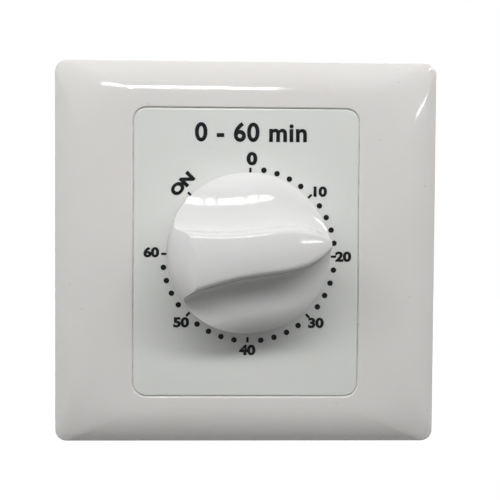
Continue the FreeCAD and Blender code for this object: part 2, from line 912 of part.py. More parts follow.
def wheel_points(teeth, module, phase):
    """Clock wheel: radial flanks below the pitch circle and a pointed arch above it."""
    pitch = teeth * module / 2.0
    half = 0.785 * module
    root = pitch - 1.57 * module
    arch = pitch + 0.75 * module
    flank = [
        (root, degrees(half / pitch)),
        (pitch, degrees(half / pitch)),
        (arch, offset_at(arch, 0.42 * module)),
        (pitch + 1.29 * module, 0.0),
    ]
    return tooth_ring(teeth, phase, flank)


def pinion_points(leaves, module, phase):
    """Pinion leaves with radial flanks and rounded tips."""
    pitch = leaves * module / 2.0
    half = degrees(0.525 * module / pitch)
    tip = pitch + 0.67 * module
    flank = [
        (pitch - 1.9 * module, half),
        (pitch, half),
        (pitch + 0.45 * module, half * 0.62),
        (tip, 0.0),
    ]
    return tooth_ring(leaves, phase, flank)


def spoke_windows(inner, outer, phase, y, x=0.0, z=0.0):
    """Wires of the windows between the spokes of a crossed-out wheel."""
    windows = []
    for index in range(spoke_count):
        start = phase + index * 360.0 / spoke_count
        end = start + 360.0 / spoke_count
        edges = []
        corners = {}
        for name, radius in (("inner", inner), ("outer", outer)):
            margin = offset_at(radius, spoke_width / 2.0)
            angles = (start + margin, (start + end) / 2.0, end - margin)
            corners[name] = [V(x + polar(radius, a)[0], y, z + polar(radius, a)[1]) for a in angles]
            edges.append(Part.Arc(*corners[name]).toShape())
        for side in (0, 2):
            edges.append(Part.makeLine(corners["inner"][side], corners["outer"][side]))
        windows.append(Part.Wire(Part.__sortEdges__(edges)))
    return windows


def crossed_wheel(teeth, module, phase, start, thickness, bore, hub, x, z, crossed=True):
    points = [(x + px, z + pz) for px, pz in wheel_points(teeth, module, phase)]
    holes = [circle_wire(bore, start, x, z)]
    if crossed:
        rim = teeth * module / 2.0 - 1.57 * module - wheel_rim * module / 0.5
        holes += spoke_windows(hub, rim, phase, start, x, z)
    return outline_solid(points, start, start + thickness, holes)


def centre_distance(teeth, module):
    return (teeth + pinion_leaves) * module / 2.0


def second_centre():
    return polar(centre_distance(great_teeth, great_module), second_direction)


def third_centre():
    x2, z2 = second_centre()
    distance = centre_distance(second_teeth, second_module)
    dx = third_centre_x - x2
    return third_centre_x, z2 + (distance ** 2 - dx ** 2) ** 0.5


def escape_centre():
    x3, z3 = third_centre()
    dx, dz = polar(centre_distance(third_teeth, third_module), escape_direction)
    return x3 + dx, z3 + dz


def pallet_centre():
    x4, z4 = escape_centre()
    dx, dz = polar(pallet_distance, pallet_direction)
    return x4 + dx, z4 + dz


def arbor_places():
    return [second_centre(), third_centre(), escape_centre(), pallet_centre()]


def direction(a, b):
    return degrees(atan2(b[1] - a[1], b[0] - a[0]))


def arbor(centre, steps=()):
    """Straight arbor with a thin pivot in each plate; steps are (radius, start, end) collars."""
    x, z = centre
    body_start = pillar_start + end_shake
    body_end = rear_plate_depth - end_shake
    solids = [
        cylinder(pivot_radius, plate_depth + 0.1, body_start, x, z),
        cylinder(arbor_radius, body_start, body_end, x, z),
        cylinder(pivot_radius, body_end, deck_start - 0.1, x, z),
    ]
    for radius, start, end in steps:
        solids.append(cylinder(radius, start, end, x, z))
    return fuse_all(solids)


def pinion(centre, module, phase, start, end):
    x, z = centre
    points = [(x + px, z + pz) for px, pz in pinion_points(pinion_leaves, module, phase)]
    return outline_solid(points, start, end)


def leaf_phase(toward):
    """Leaf angle that turns a gap towards the wheel that drives the pinion."""
    return toward + 180.0 / pinion_leaves


def great_phase():
    return direction((0, 0), second_centre())


def great_wheel():
    bore = shaft_radius + seat_fit
    wheel = crossed_wheel(great_teeth, great_module, great_phase(), great_start, great_thickness,
                          bore, ratchet_radius + 1.4, 0.0, 0.0, crossed=False)
    x, z = click_pivot()
    wheel = wheel.cut(cylinder(click_rivet_radius, great_start - 1.0, great_start + 3.0, x, z))
    for turn in range(3):
        hx, hz = polar(click_pivot_radius, click_pivot_angle + 90.0 * (turn + 1))
        wheel = wheel.cut(cylinder(lightening_radius, great_start - 1.0, great_start + 3.0, hx, hz))
    return on_dial(wheel)


def second_arbor():
    toward = direction(second_centre(), (0, 0))
    leaves = pinion(second_centre(), great_module, leaf_phase(toward), great_start - 0.5,
                    great_start + great_thickness + 0.8)
    collet = (collet_radius, second_start - collet_length, second_start)
    return on_dial(arbor(second_centre(), [collet]).fuse(leaves).removeSplitter())


def second_wheel():
    x, z = second_centre()
    phase = direction(second_centre(), third_centre())
    return on_dial(crossed_wheel(second_teeth, second_module, phase, second_start, second_thickness,
                                 arbor_radius + seat_fit, 2.6, x, z))


def third_arbor():
    toward = direction(third_centre(), second_centre())
    leaves = pinion(third_centre(), second_module, leaf_phase(toward), second_start - 0.5,
                    second_start + second_thickness + 0.5)
    collet = (collet_radius * 0.8, third_start - collet_length * 0.8, third_start)
    return on_dial(arbor(third_centre(), [collet]).fuse(leaves).removeSplitter())


def third_wheel():
    x, z = third_centre()
    phase = direction(third_centre(), escape_centre())
    return on_dial(crossed_wheel(third_teeth, third_module, phase, third_start, third_thickness,
                                 arbor_radius + seat_fit, 2.4, x, z))


def escape_arbor():
    toward = direction(escape_centre(), third_centre())
    leaves = pinion(escape_centre(), third_module, leaf_phase(toward), third_start - 0.4,
                    third_start + third_thickness + 0.4)
    collet = (collet_radius * 0.7, escape_start - 0.6, escape_start)
    return on_dial(arbor(escape_centre(), [collet]).fuse(leaves).removeSplitter())


# Escapement

def escape_pitch():
    return 360.0 / escape_teeth


def escape_phase():
    """Rest phase: each pallet faces the middle of a space between two teeth."""
    toward = direction(escape_centre(), pallet_centre())
    return toward + pallet_span * escape_pitch() / 2.0 + escape_pitch() / 4.0


def escape_wheel():
    x, z = escape_centre()
    root = escape_radius - escape_tooth_depth
    points = []
    for index in range(escape_teeth):
        middle = escape_phase() + index * escape_pitch()
        for radius, angle in ((root, -4.6), (escape_radius, -1.1), (escape_radius, 1.1), (root, 4.6)):
            px, pz = polar(radius, middle + angle)
            points.append((x + px, z + pz))
    holes = [circle_wire(arbor_radius + seat_fit, escape_start, x, z)]
    return on_dial(outline_solid(points, escape_start, escape_start + escape_thickness, holes))


def pallet_arbor():
    collet = (collet_radius * 0.65, escape_start - 0.8, escape_start - 0.1)
    return on_dial(arbor(pallet_centre(), [collet]))


def pallet_anchor():
    """Two arms from the pallet arbor, each with a pointed pallet at the wheel's tooth circle."""
    wheel = escape_centre()
    pivot = pallet_centre()
    toward = direction(wheel, pivot)
    half_span = pallet_span * escape_pitch() / 2.0
    reach = escape_radius + pallet_gap
    start = escape_start - pallet_thickness_extra
    end = escape_start + escape_thickness + pallet_thickness_extra
    arms = [cylinder(collet_radius * 0.8, start, end, *pivot)]
    for side in (1, -1):
        base = toward + side * half_span

        def spot(radius, shift):
            dx, dz = polar(radius, base + side * shift)
            return wheel[0] + dx, wheel[1] + dz

        back_x, back_z = polar(pallet_arm_radius, toward + side * 118.0)
        heel_x, heel_z = polar(pallet_arm_radius, toward + side * 20.0)
        points = [
            (pivot[0] + back_x, pivot[1] + back_z),
            spot(reach + 1.1, -3.0),
            spot(reach, -1.2),
            spot(reach, 1.2),
            spot(reach + 1.5, 9.0),
            (pivot[0] + heel_x, pivot[1] + heel_z),
        ]
        arms.append(outline_solid(points, start, end))
    body = fuse_all(arms)
    bore = cylinder(arbor_radius + seat_fit, start - 1.0, end + 1.0, *pivot)
    return on_dial(body.cut(bore))


def inertia_bar():
    x, z = pallet_centre()
    end = third_start - bar_clearance
    start = end - bar_thickness
    bar = slab(bar_length, bar_width, bar_width * 0.48, start, end, x, z)
    hub = cylinder(bar_hub_radius, start - bar_hub_extra, end + bar_hub_extra, x, z)
    bar = bar.fuse(hub).cut(cylinder(arbor_radius + seat_fit, start - bar_width, end + bar_width, x, z))
    across = direction(escape_centre(), pallet_centre()) + 90.0
    return on_dial(turned(bar, across, x, z))


# One-way drive

def click_pivot():
    return polar(click_pivot_radius, click_pivot_angle)


def ratchet_tip_angle():
    """Angle of the ratchet space that the click's nose rests in."""
    return click_pivot_angle - 38.0


def ratchet_wheel():
    points = []
    step = 360.0 / ratchet_teeth
    for index in range(ratchet_teeth):
        start = ratchet_tip_angle() + index * step
        points.append(polar(ratchet_radius - ratchet_depth, start))
        points.append(polar(ratchet_radius, start + 0.8))
    holes = [circle_wire(shaft_radius + seat_fit, ratchet_start)]
    end = ratchet_start + ratchet_thickness
    return on_dial(outline_solid(points, ratchet_start, end, holes))


def click():
    """Pawl riveted to the first wheel, its nose in the ratchet teeth."""
    x, z = click_pivot()
    start = great_start + great_thickness + 0.05
    end = start + ratchet_thickness
    nose = polar(ratchet_radius - ratchet_depth + 0.15, ratchet_tip_angle() + 1.4)
    tip = polar(ratchet_radius + 0.25, ratchet_tip_angle() + 2.2)
    toward = direction((x, z), nose)
    side_a = polar(1.5, toward + 90.0)
    side_b = polar(1.5, toward - 90.0)
    back = polar(ratchet_radius + 2.2, ratchet_tip_angle() - 2.0)
    points = [(x + side_a[0], z + side_a[1]), tip, nose, back, (x + side_b[0], z + side_b[1])]
    body = outline_solid(points, start, end).fuse(cylinder(1.6, start, end, x, z))
    rivet = cylinder(click_rivet_radius - seat_fit, great_start + 0.1, end + 0.3, x, z)
    return on_dial(body.fuse(rivet).removeSplitter())


def click_spring():
    """Bent wire that presses the click into the ratchet."""
    level = great_start + great_thickness + click_spring_radius + click_spring_gap
    near = click_pivot_radius + click_spring_reach
    stations = [polar(near + click_spring_spread, click_pivot_angle + 50.0),
                polar(near + click_spring_spread / 2.0, click_pivot_angle + 20.0),
                polar(near, click_pivot_angle)]
    points = [V(px, level, pz) for px, pz in stations]
    path = Part.Wire([Part.Arc(*points).toShape()])
    tangent = path.Edges[0].tangentAt(path.Edges[0].FirstParameter)
    profile = Part.Wire([Part.Circle(points[0], tangent, click_spring_radius).toShape()])
    return on_dial(path.makePipeShell([profile], True, True))


# Mainspring

def stud_height():
    return -(spring_outer + spring_strip + 1.4)


def spiral_edges(first_radius, step, halves, y):
    """Half circles about two centres in turn, so that each turn is wider by two steps."""
    edges = []
    end = V(first_radius, y, 0)
    centre = 0.0
    radius = first_radius
    side = 1
    for _ in range(halves):
        middle = V(centre, y, side * radius)
        far = V(centre - (1 if side > 0 else -1) * radius, y, 0)
        edges.append(Part.Arc(end, middle, far).toShape())
        end = far
        centre += (1 if side > 0 else -1) * step
        radius += step
        side = -side
    return edges, end


def mainspring():
    halves = 2 * spring_turns
    step = (spring_outer - spring_inner) / halves
    y = core_start + 0.4
    inner, inner_end = spiral_edges(spring_inner, step, halves, y)
    outer, outer_end = spiral_edges(spring_inner + spring_strip, step, halves, y)
    start_line = Part.makeLine(V(spring_inner, y, 0), V(spring_inner + spring_strip, y, 0))
    end_line = Part.makeLine(inner_end, outer_end)
    wire = Part.Wire(Part.__sortEdges__(inner + outer + [start_line, end_line]))
    strip = Part.Face(wire).extrude(V(0, spring_width, 0))
    print("least gap between turns of the mainspring", round(2.0 * step - spring_strip, 3))
    return on_dial(turned(strip, spring_phase()).fuse(spring_tail(y)).removeSplitter())


def spring_phase():
    return -90.0


def spring_tail(y):
    """Straight run from the last turn to the stud, ending in a loop round it."""
    halves = 2 * spring_turns
    step = (spring_outer - spring_inner) / halves
    reach = spring_inner + step * halves
    z0 = -reach
    loop_inner = stud_radius + 0.05
    loop = ring(loop_inner + spring_strip, loop_inner, y, y + spring_width, stud_x, stud_height())
    run = block(stud_x, 0.0, y, y + spring_width, z0 - spring_strip, z0)
    return loop.fuse(run).cut(cylinder(loop_inner, y - 1.0, y + spring_width + 1.0, stud_x, stud_height()))


def spring_stud():
    body = cylinder(stud_radius, pillar_start, rear_plate_depth, stud_x, stud_height())
    rivet = cylinder(stud_radius * 0.6 - seat_fit, plate_depth, deck_start, stud_x, stud_height())
    return on_dial(body.fuse(rivet).removeSplitter())


# Switch deck

def deck_screw_places():
    return [(side * cover_screw_x, z) for side in (-1, 1)
            for z in (deck_top - deck_boss_inset, deck_bottom + deck_boss_inset)]


def deck_block(start, end, inset=0.0):
    height = deck_top - deck_bottom - 2.0 * inset
    centre = (deck_top + deck_bottom) / 2.0
    return slab(2.0 * (deck_half_width - inset), height, deck_corner, start, end, 0.0, centre)


def switch_base():
    body = deck_block(deck_start, deck_end)
    body = body.cut(deck_block(deck_start + deck_wall, deck_end + 1.0, deck_wall))
    shelf = block(-deck_half_width + 2.0, deck_half_width - 2.0, deck_start, deck_start + shelf_depth,
                  deck_bottom - terminal_reach, deck_bottom + 1.0)
    body = body.fuse(shelf)
    for x, z in deck_screw_places():
        body = body.fuse(cylinder(deck_boss_radius, deck_start + 0.5, deck_end, x, z))
    body = body.fuse(blade_post(1)).fuse(blade_post(-1))
    body = body.cut(cylinder(bush_radius + 0.2, deck_start - 1.0, deck_start + deck_wall + 1.0))
    for x, z in deck_screw_places():
        body = body.cut(cylinder(screw_radius + screw_gap, deck_start - 1.0, deck_end + 1.0, x, z))
    for x in (-terminal_x, terminal_x):
        body = body.cut(terminal_slot(x))
        body = body.cut(cylinder(terminal_screw_radius + 0.1, deck_start - 1.0, deck_end, x, terminal_hole_z()))
    return on_dial(body.removeSplitter())


def blade_post(side):
    """Slotted post that holds the fixed end of the blade on this side."""
    level = blade_level(side)
    half = blade_thickness / 2.0 + blade_slot_gap
    outer = deck_half_width - deck_wall + 0.2
    inner = blade_right - post_length
    low, high = sorted((side * inner, side * outer))
    post = block(low, high, deck_start + 0.5, blade_start() + blade_width, level - half - post_wall,
                 level + half + post_wall)
    slot_end = blade_right + blade_slot_gap
    low, high = sorted((side * (inner - 1.0), side * slot_end))
    return post.cut(block(low, high, blade_start() - blade_slot_gap, deck_end, level - half, level + half))


def terminal_level():
    return deck_start + shelf_depth


def terminal_hole_z():
    return deck_bottom - terminal_reach / 2.0


def terminal_slot(x):
    return block(x - terminal_width / 2.0 - 0.1, x + terminal_width / 2.0 + 0.1, terminal_level() - 0.05,
                 terminal_level() + terminal_thickness + 0.1, deck_bottom - 1.0, deck_bottom + deck_wall + 1.0)


def terminal_plate(x):
    low = deck_bottom - terminal_reach + 0.6
    high = blade_level(x) - blade_thickness / 2.0
    body = block(x - terminal_width / 2.0, x + terminal_width / 2.0, terminal_level(),
                 terminal_level() + terminal_thickness, low, high)
    hole = cylinder(terminal_screw_radius + screw_gap, terminal_level() - 1.0, deck_end, x, terminal_hole_z())
    return body.cut(hole)


def blade_level(x):
    """Height of the fixed end of the blade on this side."""
    moving = -(cam_radius + blade_thickness / 2.0 + 0.3)
    return moving if x > 0 else moving - blade_gap


def terminal_plates():
    return on_dial(Part.makeCompound([terminal_plate(x) for x in (-terminal_x, terminal_x)]))


def terminal_screws():
    seat = terminal_level() + terminal_thickness + clamp_thickness
    screws = []
    for x in (-terminal_x, terminal_x):
        screws.append(screw(x, terminal_hole_z(), seat, -1, seat - deck_start - 0.2, terminal_screw_radius,
                            terminal_head_radius, terminal_head_height))
    return on_dial(Part.makeCompound(screws))


def terminal_clamps():
    clamps = []
    start = terminal_level() + terminal_thickness
    for x in (-terminal_x, terminal_x):
        clamp = slab(clamp_side, clamp_side, 0.8, start, start + clamp_thickness, x, terminal_hole_z())
        clamps.append(clamp.cut(cylinder(terminal_screw_radius + screw_gap, start - 1.0, start + 3.0,
                                         x, terminal_hole_z())))
    return on_dial(Part.makeCompound(clamps))


def blade_start():
    return deck_start + deck_wall + blade_floor_gap


def moving_blade():
    level = blade_level(terminal_x)
    half = blade_thickness / 2.0
    strip = block(blade_left, blade_right, blade_start(), blade_start() + blade_width, level - half, level + half)
    return on_dial(strip.cut(contact_hole(level)))


def fixed_blade():
    level = blade_level(-terminal_x)
    half = blade_thickness / 2.0
    right = contact_x + 5.0
    strip = block(-blade_right, right, blade_start(), blade_start() + blade_width, level - half, level + half)
    return on_dial(strip.cut(contact_hole(level)))


def contact_rivets():
    """Silver contacts, riveted through the end of each blade and touching while the switch is on."""
    y = blade_start() + blade_width / 2.0
    upper = blade_level(terminal_x) - blade_thickness / 2.0
    lower = blade_level(-terminal_x) + blade_thickness / 2.0
    middle = (upper + lower) / 2.0
    rivets = []
    for face, toward in ((upper, -1), (lower, 1)):
        height = abs(face - middle) - 0.01
        head = Part.makeCylinder(contact_radius, height, V(contact_x, y, face), V(0, 0, toward))
        stem = Part.makeCylinder(contact_stem, blade_thickness, V(contact_x, y, face), V(0, 0, -toward))
        rivets.append(head.fuse(stem).removeSplitter())
    return on_dial(Part.makeCompound(rivets))


def contact_hole(level):
    y = blade_start() + blade_width / 2.0
    return Part.makeCylinder(contact_stem + seat_fit, 2.0, V(contact_x, y, level - 1.0), V(0, 0, 1))


def cam():
    """Disc with one notch; the moving blade drops into it at zero and opens the contacts."""
    start = deck_start + cam_start
    disc = cylinder(cam_radius, start, start + cam_thickness)
    hub = cylinder(journal_radius + cam_hub_wall, start - cam_hub_front, start + cam_thickness + cam_hub_back)
    follower_side = 270.0
    off_turn = 90.0 - pointer_angle
    notch_angle = follower_side - off_turn
    notch = cylinder(cam_notch_depth * 1.5, start - 2.0, start + cam_thickness + 2.0,
                     *polar(cam_radius + cam_notch_depth * 0.5, notch_angle))
    bore = d_bore(journal_radius + seat_fit, journal_radius * 0.6 + seat_fit, start - 2.0,
                  start + cam_thickness + 3.0)
    return on_dial(disc.fuse(hub).cut(notch).cut(turned(bore, pointer_angle)).removeSplitter())


def switch_cover():
    body = deck_block(deck_end, deck_end + cover_thickness)
    for x, z in deck_screw_places():
        body = body.cut(cylinder(screw_radius + screw_gap, deck_end - 1.0, deck_end + 3.0, x, z))
    return on_dial(body)


def cover_screws():
    seat = deck_end + cover_thickness
    length = seat - rear_plate_depth
    return on_dial(Part.makeCompound([screw(x, z, seat, -1, length) for x, z in deck_screw_places()]))


makers = [
    outer_frame, faceplate, mounting_bracket, knob, knob_spring_clip, front_plate, rear_plate,
    plate_pillars, pillar_screws, movement_screws, front_bush, rear_bush, main_shaft, shaft_circlip,
    mainspring, spring_stud, friction_washer, great_wheel, ratchet_wheel, click, click_spring,
    second_arbor, second_wheel, third_arbor, third_wheel, escape_arbor, escape_wheel, pallet_arbor,
    pallet_anchor, inertia_bar, switch_base, switch_cover, cover_screws, cam, moving_blade,
    fixed_blade, contact_rivets, terminal_plates, terminal_screws, terminal_clamps,
]
placed_by_dial = (knob, knob_spring_clip)

os.makedirs("parts", exist_ok=True)
for make in makers:
    solid = make()
    if make in placed_by_dial:
        solid = on_dial(solid)
    solid.exportStep(os.path.join("parts", make.__name__ + ".step"))
    print(make.__name__, len(solid.Solids), round(solid.Volume, 2), solid.isValid())
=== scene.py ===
"""Looks of a wall-mounted countdown timer switch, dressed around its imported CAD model."""

import json
from math import cos, pi, radians, sin

import bpy
from mathutils import Matrix, Vector


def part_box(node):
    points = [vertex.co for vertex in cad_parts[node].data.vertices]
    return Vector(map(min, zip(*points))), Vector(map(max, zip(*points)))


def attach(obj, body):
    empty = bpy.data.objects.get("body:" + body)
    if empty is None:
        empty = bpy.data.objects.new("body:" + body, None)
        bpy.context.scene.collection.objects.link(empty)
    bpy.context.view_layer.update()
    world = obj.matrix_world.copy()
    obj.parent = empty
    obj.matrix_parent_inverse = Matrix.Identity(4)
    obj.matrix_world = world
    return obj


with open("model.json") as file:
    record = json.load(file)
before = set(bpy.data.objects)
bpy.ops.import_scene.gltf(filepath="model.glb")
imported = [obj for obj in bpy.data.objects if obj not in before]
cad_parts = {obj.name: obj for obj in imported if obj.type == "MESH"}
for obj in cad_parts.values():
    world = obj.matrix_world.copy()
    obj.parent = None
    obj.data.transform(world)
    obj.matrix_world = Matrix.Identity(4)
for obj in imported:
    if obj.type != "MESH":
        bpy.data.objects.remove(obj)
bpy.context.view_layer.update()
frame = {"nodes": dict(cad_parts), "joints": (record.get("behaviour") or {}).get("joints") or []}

MM = 0.001
panel_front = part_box("faceplate")[0].y


# Materials

# Rolling lines, lapping rings, the feed of turning and eroded grain are finer on a real part.
# They are drawn 0.2 to 0.4 mm wide, as coarse as they need to be to show.

# A Mix node's colour sockets share their names with its others, so they go by number
COLOUR_A, COLOUR_B, COLOUR_OUT = 6, 7, 2


def linear(colour):
    """sRGB hex to the linear colour that a socket takes."""
    levels = (int(colour[start:start + 2], 16) / 255 for start in (1, 3, 5))
    return (*(level / 12.92 if level <= 0.04045 else ((level + 0.055) / 1.055) ** 2.4
              for level in levels), 1.0)


def cells(size):
    """Texture scale whose cells are that many millimetres wide."""
    return 1.0 / (size * MM)


def bands(pitch):
    """Wave scale whose bands are that many millimetres apart."""
    return pi / 10.0 / (pitch * MM)


def add(tree, kind, sockets=None, **settings):
    """Adds a shader node with its settings, and fills or links its sockets."""
    made = tree.nodes.new("ShaderNode" + kind)
    for name, value in settings.items():
        setattr(made, name, value)
    for name, value in (sockets or {}).items():
        if isinstance(value, bpy.types.NodeSocket):
            tree.links.new(value, made.inputs[name])
        else:
            made.inputs[name].default_value = value
    return made


def start(name):
    """An empty node material, its tree and the Object coordinates that its patterns read."""
    made = bpy.data.materials.new(name)
    made.use_nodes = True
    tree = made.node_tree
    tree.nodes.clear()
    return made, tree, add(tree, "TexCoord").outputs["Object"]


def finish(tree, **surface):
    """Closes a material with one Principled shader."""
    sockets = {name.replace("_", " "): value for name, value in surface.items()}
    shader = add(tree, "BsdfPrincipled", sockets)
    add(tree, "OutputMaterial", {"Surface": shader.outputs["BSDF"]})


def polished_abs(name, body, cloud, orange_peel):
    """Gloss ABS from a polished mould. To the eye: a bright, nearly even white whose reflections
    waver a little over shallow sinks, with a few specks in the resin and painted shade, tinted
    brown like grime, in the joints.
    Orange peel is the height of the skin's fine waves in millimetres."""
    made, tree, place = start(name)
    sinks = add(tree, "TexNoise", {"Vector": place, "Scale": cells(24), "Detail": 1.0})
    tone = add(tree, "Mix", {
        "Factor": sinks.outputs["Fac"], COLOUR_A: linear(body), COLOUR_B: linear(cloud),
    }, data_type="RGBA")
    speck_cells = add(tree, "TexVoronoi", {"Vector": place, "Scale": cells(5.0)})
    speck = add(tree, "MapRange", {
        "Value": speck_cells.outputs["Distance"], "From Min": 0.018, "From Max": 0.03,
        "To Min": 0.65, "To Max": 0.0,
    })
    specked = add(tree, "Mix", {
        "Factor": speck.outputs["Result"], COLOUR_A: tone.outputs[COLOUR_OUT],
        COLOUR_B: linear("#6E675F"),
    }, data_type="RGBA")
    # Painted shade: where occlusion within 0.6 mm is strong, in joints and tight corners, the
    # white is darkened towards a grime brown
    joint_occlusion = add(tree, "AmbientOcclusion", {"Distance": 0.6 * MM}, samples=6)
    painted_shade_and_grime = add(tree, "MapRange", {
        "Value": joint_occlusion.outputs["AO"], "From Min": 0.15, "From Max": 0.55,
        "To Min": 0.2, "To Max": 0.0,
    })
    shaded_and_grimed = add(tree, "Mix", {
        "Factor": painted_shade_and_grime.outputs["Result"], COLOUR_A: specked.outputs[COLOUR_OUT],
        COLOUR_B: linear("#9C8C78"),
    }, data_type="RGBA")
    handling = add(tree, "TexNoise", {"Vector": place, "Scale": cells(9), "Detail": 4.0})
    gloss = add(tree, "MapRange", {
        "Value": handling.outputs["Fac"], "From Min": 0.3, "From Max": 0.7,
        "To Min": 0.06, "To Max": 0.12,
    })
    sunk = add(tree, "Bump", {
        "Height": sinks.outputs["Fac"], "Distance": 0.02 * MM, "Strength": 1.0})
    peel = add(tree, "TexNoise", {"Vector": place, "Scale": cells(2.6), "Detail": 2.0})
    skin = add(tree, "Bump", {
        "Height": peel.outputs["Fac"], "Distance": orange_peel * MM, "Strength": 1.0,
        "Normal": sunk.outputs["Normal"],
    })
    finish(tree, Base_Color=shaded_and_grimed.outputs[COLOUR_OUT], Roughness=gloss.outputs["Result"],
           Normal=skin.outputs["Normal"], IOR=1.54, Subsurface_Weight=0.6,
           Subsurface_Radius=(1.0, 0.9, 0.8), Subsurface_Scale=0.8 * MM)
    return made


def rolled_zinc_steel():
    """Zinc-plated cold-rolled sheet. To the eye: cool grey with faint rolling lines along the
    sheet and a yellowish bloom where the passivation pooled."""
    made, tree, place = start("rolled_zinc_plated_steel")
    along = add(tree, "Mapping", {"Vector": place, "Scale": (0.05, 1.0, 1.0)})
    lines = add(tree, "TexNoise", {
        "Vector": along.outputs["Vector"], "Scale": cells(0.35), "Detail": 3.0})
    bloom = add(tree, "TexNoise", {"Vector": place, "Scale": cells(11), "Detail": 3.0})
    pooled = add(tree, "MapRange", {
        "Value": bloom.outputs["Fac"], "From Min": 0.45, "From Max": 0.75, "To Max": 0.45})
    sheet = add(tree, "Mix", {
        "Factor": lines.outputs["Fac"], COLOUR_A: linear("#AFB4B6"), COLOUR_B: linear("#CBCDCB"),
    }, data_type="RGBA")
    tone = add(tree, "Mix", {
        "Factor": pooled.outputs["Result"], COLOUR_A: sheet.outputs[COLOUR_OUT],
        COLOUR_B: linear("#C2B68E"),
    }, data_type="RGBA")
    sheen = add(tree, "MapRange", {
        "Value": lines.outputs["Fac"], "To Min": 0.27, "To Max": 0.45})
    skin = add(tree, "Bump", {
        "Height": lines.outputs["Fac"], "Distance": 0.003 * MM, "Strength": 0.8})
    finish(tree, Base_Color=tone.outputs[COLOUR_OUT], Roughness=sheen.outputs["Result"],
           Normal=skin.outputs["Normal"], Metallic=1.0)
    return made


def turned_metal(name, bright, dull, pitch, polish):
    """Bar stock turned on an automatic lathe. To the eye: rings of the tool's feed round every
    pin and screw that catch the light on their crests, under a thin, uneven film of oil."""
    made, tree, place = start(name)
    feed = add(tree, "TexWave", {
        "Vector": place, "Scale": bands(pitch), "Distortion": 0.6, "Detail": 1.0,
    }, bands_direction="Y")
    film = add(tree, "TexNoise", {"Vector": place, "Scale": cells(3.5), "Detail": 4.0})
    worn = add(tree, "Mix", {
        "Factor": film.outputs["Fac"], COLOUR_A: linear(bright), COLOUR_B: linear(dull),
    }, data_type="RGBA")
    sheen = add(tree, "MapRange", {
        "Value": film.outputs["Fac"], "To Min": polish, "To Max": polish + 0.2})
    skin = add(tree, "Bump", {
        "Height": feed.outputs["Fac"], "Distance": 0.004 * MM, "Strength": 0.7})
    finish(tree, Base_Color=worn.outputs[COLOUR_OUT], Roughness=sheen.outputs["Result"],
           Normal=skin.outputs["Normal"], Metallic=1.0)
    return made


def lapped_brass(name, centre):
    """Sheet brass, stamped and lapped flat on a turning plate. To the eye: fine rings round the
    wheel's own arbor that catch the light in a fan, and patches of brown tarnish."""
    made, tree, place = start(name)
    centred = add(tree, "Mapping", {"Vector": place, "Location": -centre})
    rings = add(tree, "TexWave", {
        "Vector": centred.outputs["Vector"], "Scale": bands(0.4), "Distortion": 1.2,
        "Detail": 2.0, "Detail Scale": 3.0,
    }, wave_type="RINGS", rings_direction="Y")
    tarnish = add(tree, "TexNoise", {"Vector": place, "Scale": cells(4.5), "Detail": 4.0})
    dulled = add(tree, "MapRange", {
        "Value": tarnish.outputs["Fac"], "From Min": 0.4, "From Max": 0.75, "To Max": 0.7})
    ring_tone = add(tree, "Mix", {
        "Factor": rings.outputs["Fac"], COLOUR_A: linear("#D8B566"), COLOUR_B: linear("#C9A352"),
    }, data_type="RGBA")
    tone = add(tree, "Mix", {
        "Factor": dulled.outputs["Result"], COLOUR_A: ring_tone.outputs[COLOUR_OUT],
        COLOUR_B: linear("#9C7A3E"),
    }, data_type="RGBA")
    sheen = add(tree, "MapRange", {
        "Value": tarnish.outputs["Fac"], "To Min": 0.2, "To Max": 0.45})
    skin = add(tree, "Bump", {
        "Height": rings.outputs["Fac"], "Distance": 0.003 * MM, "Strength": 0.6})
    finish(tree, Base_Color=tone.outputs[COLOUR_OUT], Roughness=sheen.outputs["Result"],
           Normal=skin.outputs["Normal"], Metallic=1.0)
    return made


def tempered_strip(name, cool, warm, sheen_low):
    """Cold-rolled spring strip, hardened and tempered. To the eye: an oxide film that runs from
    a cool tint to a warm one, with rolling lines along the strip."""
    made, tree, place = start(name)
    along = add(tree, "Mapping", {"Vector": place, "Scale": (0.08, 1.0, 0.08)})
    lines = add(tree, "TexNoise", {
        "Vector": along.outputs["Vector"], "Scale": cells(0.3), "Detail": 3.0})
    heat = add(tree, "TexNoise", {"Vector": place, "Scale": cells(6.0), "Detail": 2.0})
    hue = add(tree, "MapRange", {
        "Value": heat.outputs["Fac"], "From Min": 0.35, "From Max": 0.7})
    tone = add(tree, "Mix", {
        "Factor": hue.outputs["Result"], COLOUR_A: linear(cool), COLOUR_B: linear(warm),
    }, data_type="RGBA")
    sheen = add(tree, "MapRange", {
        "Value": lines.outputs["Fac"], "To Min": sheen_low, "To Max": sheen_low + 0.18})
    skin = add(tree, "Bump", {
        "Height": lines.outputs["Fac"], "Distance": 0.002 * MM, "Strength": 0.8})
    finish(tree, Base_Color=tone.outputs[COLOUR_OUT], Roughness=sheen.outputs["Result"],
           Normal=skin.outputs["Normal"], Metallic=1.0)
    return made


